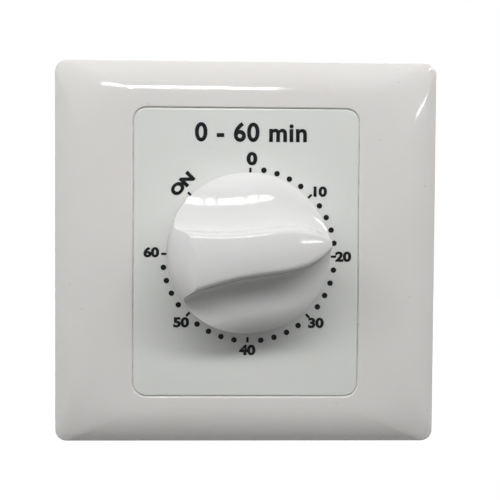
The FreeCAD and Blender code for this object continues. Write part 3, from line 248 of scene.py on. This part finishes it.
def rolled_contact_strip(name, fresh, tarnished, lines_size):
    """Rolled copper-alloy or silver strip. To the eye: a warm metal with fine lines along the
    strip and darker patches of tarnish."""
    made, tree, place = start(name)
    along = add(tree, "Mapping", {"Vector": place, "Scale": (0.1, 1.0, 1.0)})
    lines = add(tree, "TexNoise", {
        "Vector": along.outputs["Vector"], "Scale": cells(lines_size), "Detail": 3.0})
    patches = add(tree, "TexNoise", {"Vector": place, "Scale": cells(3.0), "Detail": 5.0})
    patch = add(tree, "MapRange", {
        "Value": patches.outputs["Fac"], "From Min": 0.45, "From Max": 0.7, "To Max": 0.8})
    tone = add(tree, "Mix", {
        "Factor": patch.outputs["Result"], COLOUR_A: linear(fresh), COLOUR_B: linear(tarnished),
    }, data_type="RGBA")
    sheen = add(tree, "MapRange", {
        "Value": patches.outputs["Fac"], "To Min": 0.2, "To Max": 0.5})
    skin = add(tree, "Bump", {
        "Height": lines.outputs["Fac"], "Distance": 0.002 * MM, "Strength": 0.8})
    finish(tree, Base_Color=tone.outputs[COLOUR_OUT], Roughness=sheen.outputs["Result"],
           Normal=skin.outputs["Normal"], Metallic=1.0)
    return made


def eroded_polycarbonate():
    """Grey polycarbonate from a spark-eroded mould. To the eye: dead matt, with a fine even
    grain and slightly paler flow clouds."""
    made, tree, place = start("spark_eroded_polycarbonate")
    grain = add(tree, "TexNoise", {"Vector": place, "Scale": cells(0.3), "Detail": 2.0})
    flow = add(tree, "TexNoise", {"Vector": place, "Scale": cells(16), "Detail": 2.0})
    mixed = add(tree, "Mix", {
        "Factor": flow.outputs["Fac"], COLOUR_A: linear("#BFC1C0"), COLOUR_B: linear("#CACBC8"),
    }, data_type="RGBA")
    pits = add(tree, "MapRange", {
        "Value": grain.outputs["Fac"], "From Min": 0.3, "From Max": 0.5,
        "To Min": 0.35, "To Max": 0.0,
    })
    tone = add(tree, "Mix", {
        "Factor": pits.outputs["Result"], COLOUR_A: mixed.outputs[COLOUR_OUT],
        COLOUR_B: linear("#9DA09F"),
    }, data_type="RGBA")
    sheen = add(tree, "MapRange", {
        "Value": grain.outputs["Fac"], "To Min": 0.5, "To Max": 0.68})
    skin = add(tree, "Bump", {
        "Height": grain.outputs["Fac"], "Distance": 0.012 * MM, "Strength": 0.9})
    finish(tree, Base_Color=tone.outputs[COLOUR_OUT], Roughness=sheen.outputs["Result"],
           Normal=skin.outputs["Normal"], IOR=1.58)
    return made


def pressed_phenolic():
    """Wood-filled phenolic, pressed hot. To the eye: brown-black with lighter flecks of filler,
    half glossy, and slightly uneven where the powder closed."""
    made, tree, place = start("pressed_phenolic")
    filler = add(tree, "TexVoronoi", {"Vector": place, "Scale": cells(0.7)})
    fleck = add(tree, "MapRange", {
        "Value": filler.outputs["Distance"], "From Min": 0.05, "From Max": 0.4,
        "To Min": 0.55, "To Max": 0.0,
    })
    tone = add(tree, "Mix", {
        "Factor": fleck.outputs["Result"], COLOUR_A: linear("#241C19"),
        COLOUR_B: linear("#4A382E"),
    }, data_type="RGBA")
    press = add(tree, "TexNoise", {"Vector": place, "Scale": cells(5.0), "Detail": 4.0})
    sheen = add(tree, "MapRange", {
        "Value": press.outputs["Fac"], "To Min": 0.25, "To Max": 0.5})
    skin = add(tree, "Bump", {
        "Height": press.outputs["Fac"], "Distance": 0.03 * MM, "Strength": 0.6})
    finish(tree, Base_Color=tone.outputs[COLOUR_OUT], Roughness=sheen.outputs["Result"],
           Normal=skin.outputs["Normal"], IOR=1.6)
    return made


def stamped_laminate():
    """Paper and phenolic laminate, stamped from sheet. To the eye: a tan board with crossed
    paper fibres on its faces and fine plies along its cut edges."""
    made, tree, place = start("stamped_paper_laminate")
    along = add(tree, "Mapping", {"Vector": place, "Scale": (0.15, 1.0, 1.0)})
    warp = add(tree, "TexNoise", {
        "Vector": along.outputs["Vector"], "Scale": cells(0.35), "Detail": 3.0})
    across = add(tree, "Mapping", {"Vector": place, "Scale": (1.0, 1.0, 0.2)})
    weft = add(tree, "TexNoise", {
        "Vector": across.outputs["Vector"], "Scale": cells(0.5), "Detail": 3.0})
    plies = add(tree, "TexWave", {
        "Vector": place, "Scale": bands(0.2), "Distortion": 0.5,
    }, bands_direction="Y")
    fibres = add(tree, "Mix", {
        "Factor": warp.outputs["Fac"], COLOUR_A: linear("#A8743F"), COLOUR_B: linear("#7E5228"),
    }, data_type="RGBA")
    crossed = add(tree, "Mix", {
        "Factor": weft.outputs["Fac"], COLOUR_A: fibres.outputs[COLOUR_OUT],
        COLOUR_B: linear("#936333"),
    }, data_type="RGBA")
    ply = add(tree, "MapRange", {"Value": plies.outputs["Fac"], "To Max": 0.25})
    tone = add(tree, "Mix", {
        "Factor": ply.outputs["Result"], COLOUR_A: crossed.outputs[COLOUR_OUT],
        COLOUR_B: linear("#5E3D1F"),
    }, data_type="RGBA")
    sheen = add(tree, "MapRange", {
        "Value": warp.outputs["Fac"], "To Min": 0.35, "To Max": 0.55})
    skin = add(tree, "Bump", {
        "Height": weft.outputs["Fac"], "Distance": 0.008 * MM, "Strength": 0.8})
    finish(tree, Base_Color=tone.outputs[COLOUR_OUT], Roughness=sheen.outputs["Result"],
           Normal=skin.outputs["Normal"], IOR=1.55)
    return made


def moulded_nylon():
    """Natural nylon, moulded. To the eye: a creamy, faintly see-through white with a waxy sheen
    that is a little greasy from the shaft."""
    made, tree, place = start("moulded_natural_nylon")
    flow = add(tree, "TexNoise", {"Vector": place, "Scale": cells(3.0), "Detail": 2.0})
    tone = add(tree, "Mix", {
        "Factor": flow.outputs["Fac"], COLOUR_A: linear("#ECE6D8"), COLOUR_B: linear("#DDD4BF"),
    }, data_type="RGBA")
    grease = add(tree, "MapRange", {
        "Value": flow.outputs["Fac"], "To Min": 0.25, "To Max": 0.5})
    skin = add(tree, "Bump", {
        "Height": flow.outputs["Fac"], "Distance": 0.02 * MM, "Strength": 0.6})
    finish(tree, Base_Color=tone.outputs[COLOUR_OUT], Roughness=grease.outputs["Result"],
           Normal=skin.outputs["Normal"], IOR=1.53, Subsurface_Weight=0.2,
           Subsurface_Radius=(1.2, 1.0, 0.8), Subsurface_Scale=0.4 * MM)
    return made


def pad_printed_ink():
    """Pad-printed two-part ink on the dial. To the eye: a dense black film, less glossy than
    the plastic, thinner where the pad lifted off."""
    made, tree, place = start("pad_printed_ink")
    film = add(tree, "TexNoise", {"Vector": place, "Scale": cells(0.8), "Detail": 3.0})
    thin = add(tree, "MapRange", {
        "Value": film.outputs["Fac"], "From Min": 0.55, "From Max": 0.75, "To Max": 0.5})
    tone = add(tree, "Mix", {
        "Factor": thin.outputs["Result"], COLOUR_A: linear("#0C0D0E"),
        COLOUR_B: linear("#1E1F21"),
    }, data_type="RGBA")
    sheen = add(tree, "MapRange", {
        "Value": film.outputs["Fac"], "To Min": 0.55, "To Max": 0.75})
    skin = add(tree, "Bump", {
        "Height": film.outputs["Fac"], "Distance": 0.004 * MM, "Strength": 0.6})
    finish(tree, Base_Color=tone.outputs[COLOUR_OUT], Roughness=sheen.outputs["Result"],
           Normal=skin.outputs["Normal"], IOR=1.5, Specular_IOR_Level=0.2)
    return made


def settled_dust():
    """House dust packed into a joint. To the eye: a dull, uneven beige line, darker in places."""
    made, tree, place = start("settled_dust")
    clumps = add(tree, "TexNoise", {"Vector": place, "Scale": cells(2.5), "Detail": 4.0})
    dark = add(tree, "MapRange", {
        "Value": clumps.outputs["Fac"], "From Min": 0.45, "From Max": 0.7})
    tone = add(tree, "Mix", {
        "Factor": dark.outputs["Result"], COLOUR_A: linear("#E4DFD6"), COLOUR_B: linear("#C2B8A8"),
    }, data_type="RGBA")
    fluff = add(tree, "Bump", {
        "Height": clumps.outputs["Fac"], "Distance": 0.02 * MM, "Strength": 0.6})
    finish(tree, Base_Color=tone.outputs[COLOUR_OUT], Roughness=0.95,
           Normal=fluff.outputs["Normal"], IOR=1.4)
    return made


def hinge_centre(name):
    """Where a joint's axis stands."""
    return next(Vector(joint["pos_m"]) for joint in frame["joints"] if joint["name"] == name)


def dress(material, *nodes):
    """Gives CAD nodes their material."""
    for node in nodes:
        for slot in frame["nodes"][node].material_slots:
            slot.material = material


dress(polished_abs("polished_abs_warm_white", "#DEDCDA", "#DAD8D5", orange_peel=0.0005),
      "outer_frame")
dress(polished_abs("polished_abs_cool_white", "#DBDDDA", "#D8DAD7", orange_peel=0.0004),
      "faceplate")
dress(polished_abs("polished_abs_knob_white", "#DEDEDD", "#DBDBD9", orange_peel=0.0004),
      "knob")
dress(eroded_polycarbonate(), "mounting_bracket")
dress(rolled_zinc_steel(), "front_plate", "rear_plate", "terminal_clamps")
dress(turned_metal("turned_zinc_plated_screw", "#C4C6C5", "#A5A6A2", pitch=0.25, polish=0.22),
      "pillar_screws", "movement_screws", "cover_screws", "terminal_screws")
dress(turned_metal("turned_carbon_steel", "#B4B3B0", "#8C8A86", pitch=0.2, polish=0.18),
      "main_shaft", "spring_stud", "ratchet_wheel", "click", "second_arbor", "third_arbor",
      "escape_arbor", "pallet_arbor", "pallet_anchor")
dress(turned_metal("turned_brass", "#D9B768", "#AE8A48", pitch=0.3, polish=0.2),
      "plate_pillars", "front_bush", "rear_bush", "inertia_bar")
dress(tempered_strip("blued_tempered_strip", "#3D4A5E", "#6D6A63", sheen_low=0.22),
      "mainspring", "click_spring", "friction_washer")
dress(tempered_strip("bright_tempered_strip", "#8C8F94", "#A39B8C", sheen_low=0.2),
      "knob_spring_clip", "shaft_circlip")
for wheel, joint in (("great_wheel", "knob_turn"), ("second_wheel", "second_spin"),
                     ("third_wheel", "third_spin"), ("escape_wheel", "escape_spin")):
    dress(lapped_brass("lapped_brass_" + wheel, hinge_centre(joint)), wheel)
dress(pressed_phenolic(), "switch_base")
dress(stamped_laminate(), "switch_cover")
dress(moulded_nylon(), "cam")
dress(rolled_contact_strip("rolled_phosphor_bronze", "#C98F62", "#8A5D43", lines_size=0.3),
      "moving_blade", "fixed_blade")
dress(rolled_contact_strip("coined_silver_alloy", "#DEDCD8", "#A39A8A", lines_size=0.2),
      "contact_rivets")
dress(rolled_contact_strip("stamped_terminal_brass", "#D6B46C", "#9A7A48", lines_size=0.35),
      "terminal_plates")


# Printed dial and the panel's joint

# The frame's opening, the joint round the panel and the dust that lies in it
OPENING_WIDTH = 50.6 * MM
OPENING_HEIGHT = 64.7 * MM
OPENING_CORNER = 3.1 * MM
CORNER_STEPS = 10
JOINT_WIDTH = 0.12 * MM
DUST_DEPTH = 0.33 * MM
DUST_THICKNESS = 0.3 * MM
DUST_CLEAR = 0.005 * MM

# Dots and ticks; an angle is in degrees, clockwise from the top of the dial
INK_THICKNESS = 0.03 * MM
INK_SOFTENING = 0.6 * INK_THICKNESS
PRINT_CENTRE = Vector((0.65, 0.0, -0.54)) * MM
DIAL_TURN = 0.65
DOT_RING = 19.3 * MM
DOT_DIAMETER = 1.25 * MM
DOT_SIDES = 32
DOT_STEP = 9
SCALE_END = 270
TICK_STEP = 45
TICK_INNER = 18.4 * MM
TICK_OUTER = 19.6 * MM
TICK_WIDTH = 0.52 * MM
TICK_ROUNDING = 0.2 * TICK_WIDTH
ON_MARK = 315

# Steps along each curve of a letter, and how near its points merge, in the typeface's own units
LETTER_CURVE_STEPS = 6
LETTER_WELD = 0.0005

# Numerals in millimetres; a place is across from the print's centre and up from it
NUMERAL_HEIGHT = 2.35
NUMERAL_PLACES = {
    "10": (15.9, 14.35), "20": (21.2, -0.2), "30": (15.2, -15.15),
    "40": (-0.25, -21.3), "50": (-15.1, -15.1), "60": (-21.8, 0.6),
}


def only(made):
    """Leaves one object selected and active."""
    bpy.ops.object.select_all(action="DESELECT")
    made.select_set(True)
    bpy.context.view_layer.objects.active = made


def ink_block(flat, soften):
    """Raises a flat print outline off the panel, and softens its top edge where asked."""
    only(flat)
    bpy.ops.object.mode_set(mode="EDIT")
    bpy.ops.mesh.select_all(action="SELECT")
    bpy.ops.mesh.extrude_region_move(
        TRANSFORM_OT_translate={"value": (0.0, -INK_THICKNESS, 0.0)})
    if soften:
        bpy.ops.mesh.region_to_loop()
        bpy.ops.mesh.bevel(offset=INK_SOFTENING, segments=2, affect="EDGES")
    bpy.ops.mesh.select_all(action="SELECT")
    bpy.ops.mesh.normals_make_consistent(inside=False)
    bpy.ops.object.mode_set(mode="OBJECT")
    bpy.ops.object.transform_apply(location=True, rotation=True, scale=True)


def copy_at(piece, matrix):
    """A copy with its own mesh, set in place."""
    made = piece.copy()
    made.data = piece.data.copy()
    bpy.context.collection.objects.link(made)
    made.data.transform(matrix)
    return made


def joined(parts, name):
    """One object of several printed marks."""
    only(parts[0])
    for part in parts:
        part.select_set(True)
    bpy.ops.object.join()
    made = bpy.context.view_layer.objects.active
    made.name = name
    made.data.name = name
    return made


def about_print(clockwise):
    """Turns a mark from the top of the dial to its own angle."""
    turn = Matrix.Rotation(radians(clockwise + DIAL_TURN), 4, "Y")
    return Matrix.Translation(PRINT_CENTRE) @ turn @ Matrix.Translation(-PRINT_CENTRE)


def printed_dots():
    """The minute dots between the ticks."""
    bpy.ops.object.select_all(action="DESELECT")
    bpy.ops.mesh.primitive_circle_add(
        vertices=DOT_SIDES, radius=DOT_DIAMETER / 2, fill_type="NGON",
        rotation=(pi / 2, 0.0, 0.0),
        location=(PRINT_CENTRE.x, panel_front, PRINT_CENTRE.z + DOT_RING))
    first = bpy.context.view_layer.objects.active
    ink_block(first, soften=True)
    dots = [copy_at(first, about_print(angle))
            for angle in range(DOT_STEP, SCALE_END, DOT_STEP) if angle % TICK_STEP]
    bpy.data.objects.remove(first)
    return joined(dots, "dial_dots")


def printed_ticks():
    """The radial ticks that the numerals stand by."""
    bpy.ops.object.select_all(action="DESELECT")
    middle = (TICK_INNER + TICK_OUTER) / 2
    bpy.ops.mesh.primitive_plane_add(
        size=1.0, rotation=(pi / 2, 0.0, 0.0),
        location=(PRINT_CENTRE.x, panel_front, PRINT_CENTRE.z + middle))
    first = bpy.context.view_layer.objects.active
    first.scale = (TICK_WIDTH, TICK_OUTER - TICK_INNER, 1.0)
    bpy.ops.object.transform_apply(location=True, rotation=True, scale=True)
    bpy.ops.object.mode_set(mode="EDIT")
    bpy.ops.mesh.select_all(action="SELECT")
    bpy.ops.mesh.bevel(offset=TICK_ROUNDING, segments=2, affect="VERTICES")
    bpy.ops.object.mode_set(mode="OBJECT")
    ink_block(first, soften=True)
    ticks = [copy_at(first, about_print(angle))
             for angle in (*range(0, SCALE_END + 1, TICK_STEP), ON_MARK)]
    bpy.data.objects.remove(first)
    return joined(ticks, "dial_ticks")


def printed_words(words, height, across, up, turn=0.0, stretch=1.19, bold=0.05, spacing=1.0):
    """Raised bold lettering of that height in millimetres, whose middle is that far across and up
    from the print's centre. Turn is in degrees, clockwise, and stretch widens the letters."""
    bpy.ops.object.select_all(action="DESELECT")
    bpy.ops.object.text_add(location=(0.0, 0.0, 0.0))
    text = bpy.context.view_layer.objects.active
    text.data.body = words
    text.data.offset = bold
    text.data.space_character = spacing
    text.data.resolution_u = LETTER_CURVE_STEPS
    bpy.ops.object.convert(target="MESH")
    made = bpy.context.view_layer.objects.active
    bpy.ops.object.mode_set(mode="EDIT")
    bpy.ops.mesh.select_all(action="SELECT")
    bpy.ops.mesh.remove_doubles(threshold=LETTER_WELD)
    bpy.ops.object.mode_set(mode="OBJECT")
    heights = [vertex.co.y for vertex in made.data.vertices]
    sides = [vertex.co.x for vertex in made.data.vertices]
    size = height * MM / (max(heights) - min(heights))
    middle = Vector(((max(sides) + min(sides)) / 2, (max(heights) + min(heights)) / 2, 0.0))
    place = Vector((PRINT_CENTRE.x + across * MM, panel_front, PRINT_CENTRE.z + up * MM))
    made.data.transform(
        Matrix.Translation(place)
        @ Matrix.Rotation(radians(turn), 4, "Y")
        @ Matrix.Rotation(pi / 2, 4, "X")
        @ Matrix.Diagonal((size * stretch, size, size, 1.0))
        @ Matrix.Translation(-middle))
    ink_block(made, soften=False)
    return made


def joint_dust():
    """The ring of dust that lies in the joint between the frame and the panel."""
    bpy.ops.object.select_all(action="DESELECT")
    bpy.ops.mesh.primitive_plane_add(
        size=1.0, rotation=(pi / 2, 0.0, 0.0), location=(0.0, panel_front + DUST_DEPTH, 0.0))
    ring = bpy.context.view_layer.objects.active
    ring.name = "joint_dust"
    ring.scale = (OPENING_WIDTH - 2 * DUST_CLEAR, OPENING_HEIGHT - 2 * DUST_CLEAR, 1.0)
    bpy.ops.object.transform_apply(location=True, rotation=True, scale=True)
    bpy.ops.object.mode_set(mode="EDIT")
    bpy.ops.mesh.select_all(action="SELECT")
    bpy.ops.mesh.bevel(
        offset=OPENING_CORNER - DUST_CLEAR, segments=CORNER_STEPS, affect="VERTICES")
    bpy.ops.mesh.inset(thickness=JOINT_WIDTH - 2 * DUST_CLEAR, depth=0.0)
    bpy.ops.mesh.delete(type="FACE")
    bpy.ops.mesh.select_all(action="SELECT")
    bpy.ops.mesh.extrude_region_move(TRANSFORM_OT_translate={"value": (0.0, DUST_THICKNESS, 0.0)})
    bpy.ops.mesh.select_all(action="SELECT")
    bpy.ops.mesh.normals_make_consistent(inside=False)
    bpy.ops.object.mode_set(mode="OBJECT")
    return ring


dust = joint_dust()
dust.data.materials.append(settled_dust())
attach(dust, "housing")
numerals = joined([
    printed_words(words, NUMERAL_HEIGHT, across, up)
    for words, (across, up) in NUMERAL_PLACES.items()
], "dial_numerals")
end_marks = joined([
    printed_words("0", height=3.0, across=0.55, up=21.6),
    printed_words("ON", height=2.6, across=-15.0, up=15.8, turn=-45.0, bold=0.065),
], "dial_end_marks")
title = printed_words("0 - 60 min", height=4.4, across=0.3, up=27.5,
                      stretch=0.98, bold=0.03, spacing=1.08)
title.name = "dial_title"
printing_ink = pad_printed_ink()
for print_piece in (printed_dots(), printed_ticks(), numerals, end_marks, title):
    print_piece.data.materials.clear()
    print_piece.data.materials.append(printing_ink)
    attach(print_piece, "housing")


# Room, light and camera

ROOM_LIGHT = 0.18
FLOOR_HEIGHT = -0.35
FLOOR_SIZE = 8.0

# The floor glows less near the object, where the lamps light it too, so its shadow shows
FLOOR_GLOW_NEAR = 0.82
FLOOR_GLOW_FAR = 1.0
FLOOR_GLOW_START = 0.35
FLOOR_GLOW_END = 1.3

# A camera that puts the plate's edges and the dial where the photograph has them
PICTURE_WIDTH = 500
FOCAL_PIXELS = 948.0
SENSOR_WIDTH = 36.0
CAMERA_PLACE = Vector((-5.7, -220.0, 7.95)) * MM
CAMERA_YAW = radians(1.78)
CAMERA_PITCH = radians(-1.97)
CAMERA_ROLL = radians(0.37)
CAMERA_NEAREST = 20.0 * MM


def eye_or_gloss(tree, seen):
    """One where the eye looks or a glossy surface mirrors, and zero elsewhere."""
    either = add(tree, "Math", {
        0: seen.outputs["Is Camera Ray"], 1: seen.outputs["Is Glossy Ray"]}, operation="MAXIMUM")
    return either.outputs["Value"]


def white_background():
    """A world that is plain white to the eye and in reflections, and dim as a lamp."""
    world = bpy.context.scene.world or bpy.data.worlds.new("room")
    bpy.context.scene.world = world
    world.use_nodes = True
    tree = world.node_tree
    tree.nodes.clear()
    seen = add(tree, "LightPath")
    shown = add(tree, "Math", {
        0: eye_or_gloss(tree, seen), 1: seen.outputs["Is Transmission Ray"],
    }, operation="MAXIMUM")
    level = add(tree, "MapRange", {
        "Value": shown.outputs["Value"], "To Min": ROOM_LIGHT, "To Max": 1.0})
    sky = add(tree, "Background", {
        "Color": (1.0, 1.0, 1.0, 1.0), "Strength": level.outputs["Result"]})
    add(tree, "OutputWorld", {"Surface": sky.outputs["Background"]})


def pale_floor():
    """A plain floor under the object, white to the eye, that keeps its shadow."""
    bpy.ops.object.select_all(action="DESELECT")
    bpy.ops.mesh.primitive_plane_add(size=FLOOR_SIZE, location=(0.0, 0.0, FLOOR_HEIGHT))
    floor = bpy.context.view_layer.objects.active
    floor.name = "floor"
    made, tree, place = start("painted_floor")
    mottle = add(tree, "TexNoise", {"Vector": place, "Scale": cells(60), "Detail": 2.0})
    tone = add(tree, "Mix", {
        "Factor": mottle.outputs["Fac"], COLOUR_A: linear("#888887"), COLOUR_B: linear("#828281"),
    }, data_type="RGBA")
    seen = add(tree, "LightPath")
    away = add(tree, "VectorMath", {0: place}, operation="LENGTH")
    level = add(tree, "MapRange", {
        "Value": away.outputs["Value"],
        "From Min": FLOOR_GLOW_START, "From Max": FLOOR_GLOW_END,
        "To Min": FLOOR_GLOW_NEAR, "To Max": FLOOR_GLOW_FAR,
    })
    glow = add(tree, "Math", {
        0: eye_or_gloss(tree, seen), 1: level.outputs["Result"]}, operation="MULTIPLY")
    lit = add(tree, "BsdfDiffuse", {"Color": tone.outputs[COLOUR_OUT]})
    shine = add(tree, "Emission", {"Strength": glow.outputs["Value"]})
    both = add(tree, "AddShader", {0: lit.outputs["BSDF"], 1: shine.outputs["Emission"]})
    add(tree, "OutputMaterial", {"Surface": both.outputs["Shader"]})
    floor.data.materials.append(made)


def lamp(name, azimuth, elevation, distance, size, power, mirrored):
    """An area lamp that faces the dial. Azimuth is to the right of the dial's own axis and
    elevation above it, in degrees. Distance and size, width by height, are in metres, and power
    is in watts. A mirrored lamp only shows in the gloss, any other only lights the surfaces."""
    right, lift = radians(azimuth), radians(elevation)
    away = Vector((sin(right) * cos(lift), -cos(right) * cos(lift), sin(lift)))
    data = bpy.data.lights.new(name, "AREA")
    data.shape = "RECTANGLE"
    data.size, data.size_y = size
    data.energy = power
    made = bpy.data.objects.new(name, data)
    bpy.context.collection.objects.link(made)
    made.location = away * distance
    made.rotation_mode = "QUATERNION"
    made.rotation_quaternion = away.to_track_quat("Z", "Y")
    made.visible_glossy = mirrored
    made.visible_diffuse = not mirrored
    made.visible_camera = False


def photograph_camera():
    """A close camera a little left of the dial's middle and above it, turned back towards it."""
    data = bpy.data.cameras.new("camera")
    data.sensor_width = SENSOR_WIDTH
    data.lens = FOCAL_PIXELS / PICTURE_WIDTH * SENSOR_WIDTH
    data.clip_start = CAMERA_NEAREST
    made = bpy.data.objects.new("camera", data)
    bpy.context.collection.objects.link(made)
    forward = Vector((
        sin(CAMERA_YAW) * cos(CAMERA_PITCH), cos(CAMERA_YAW) * cos(CAMERA_PITCH),
        sin(CAMERA_PITCH)))
    level_right = Vector((cos(CAMERA_YAW), -sin(CAMERA_YAW), 0.0))
    level_up = level_right.cross(forward)
    right = level_right * cos(CAMERA_ROLL) + level_up * sin(CAMERA_ROLL)
    up = level_up * cos(CAMERA_ROLL) - level_right * sin(CAMERA_ROLL)
    turned = Matrix((right, up, -forward)).transposed().to_4x4()
    made.matrix_world = Matrix.Translation(CAMERA_PLACE) @ turned
    bpy.context.scene.camera = made


white_background()
pale_floor()

# The strip's image is the bright band on the knob and along the frame's crest
lamp("strip", azimuth=-8.2, elevation=32.1, distance=0.21, size=(0.09, 0.016),
     power=0.09, mirrored=True)

# The side strips' images are the highlights by the pointer's tip and on the frame's upper right
# corner
lamp("low_side_strip", azimuth=50.0, elevation=12.0, distance=0.5, size=(0.2, 0.02),
     power=0.22, mirrored=True)
lamp("high_side_strip", azimuth=60.0, elevation=37.0, distance=0.5, size=(0.2, 0.02),
     power=0.22, mirrored=True)

# The key lights the front from above, and the fills light the back and both sides
lamp("soft_key", azimuth=-4.0, elevation=41.5, distance=0.45, size=(0.9, 0.08),
     power=2.55, mirrored=False)
lamp("rear_fill", azimuth=180.0, elevation=35.0, distance=0.6, size=(0.5, 0.5),
     power=2.0, mirrored=False)
for side in (-80.0, 80.0):
    lamp("side_fill", azimuth=side, elevation=25.0, distance=0.6, size=(0.3, 0.3),
         power=0.55, mirrored=False)
photograph_camera()
bpy.context.scene.view_settings.view_transform = "Standard"
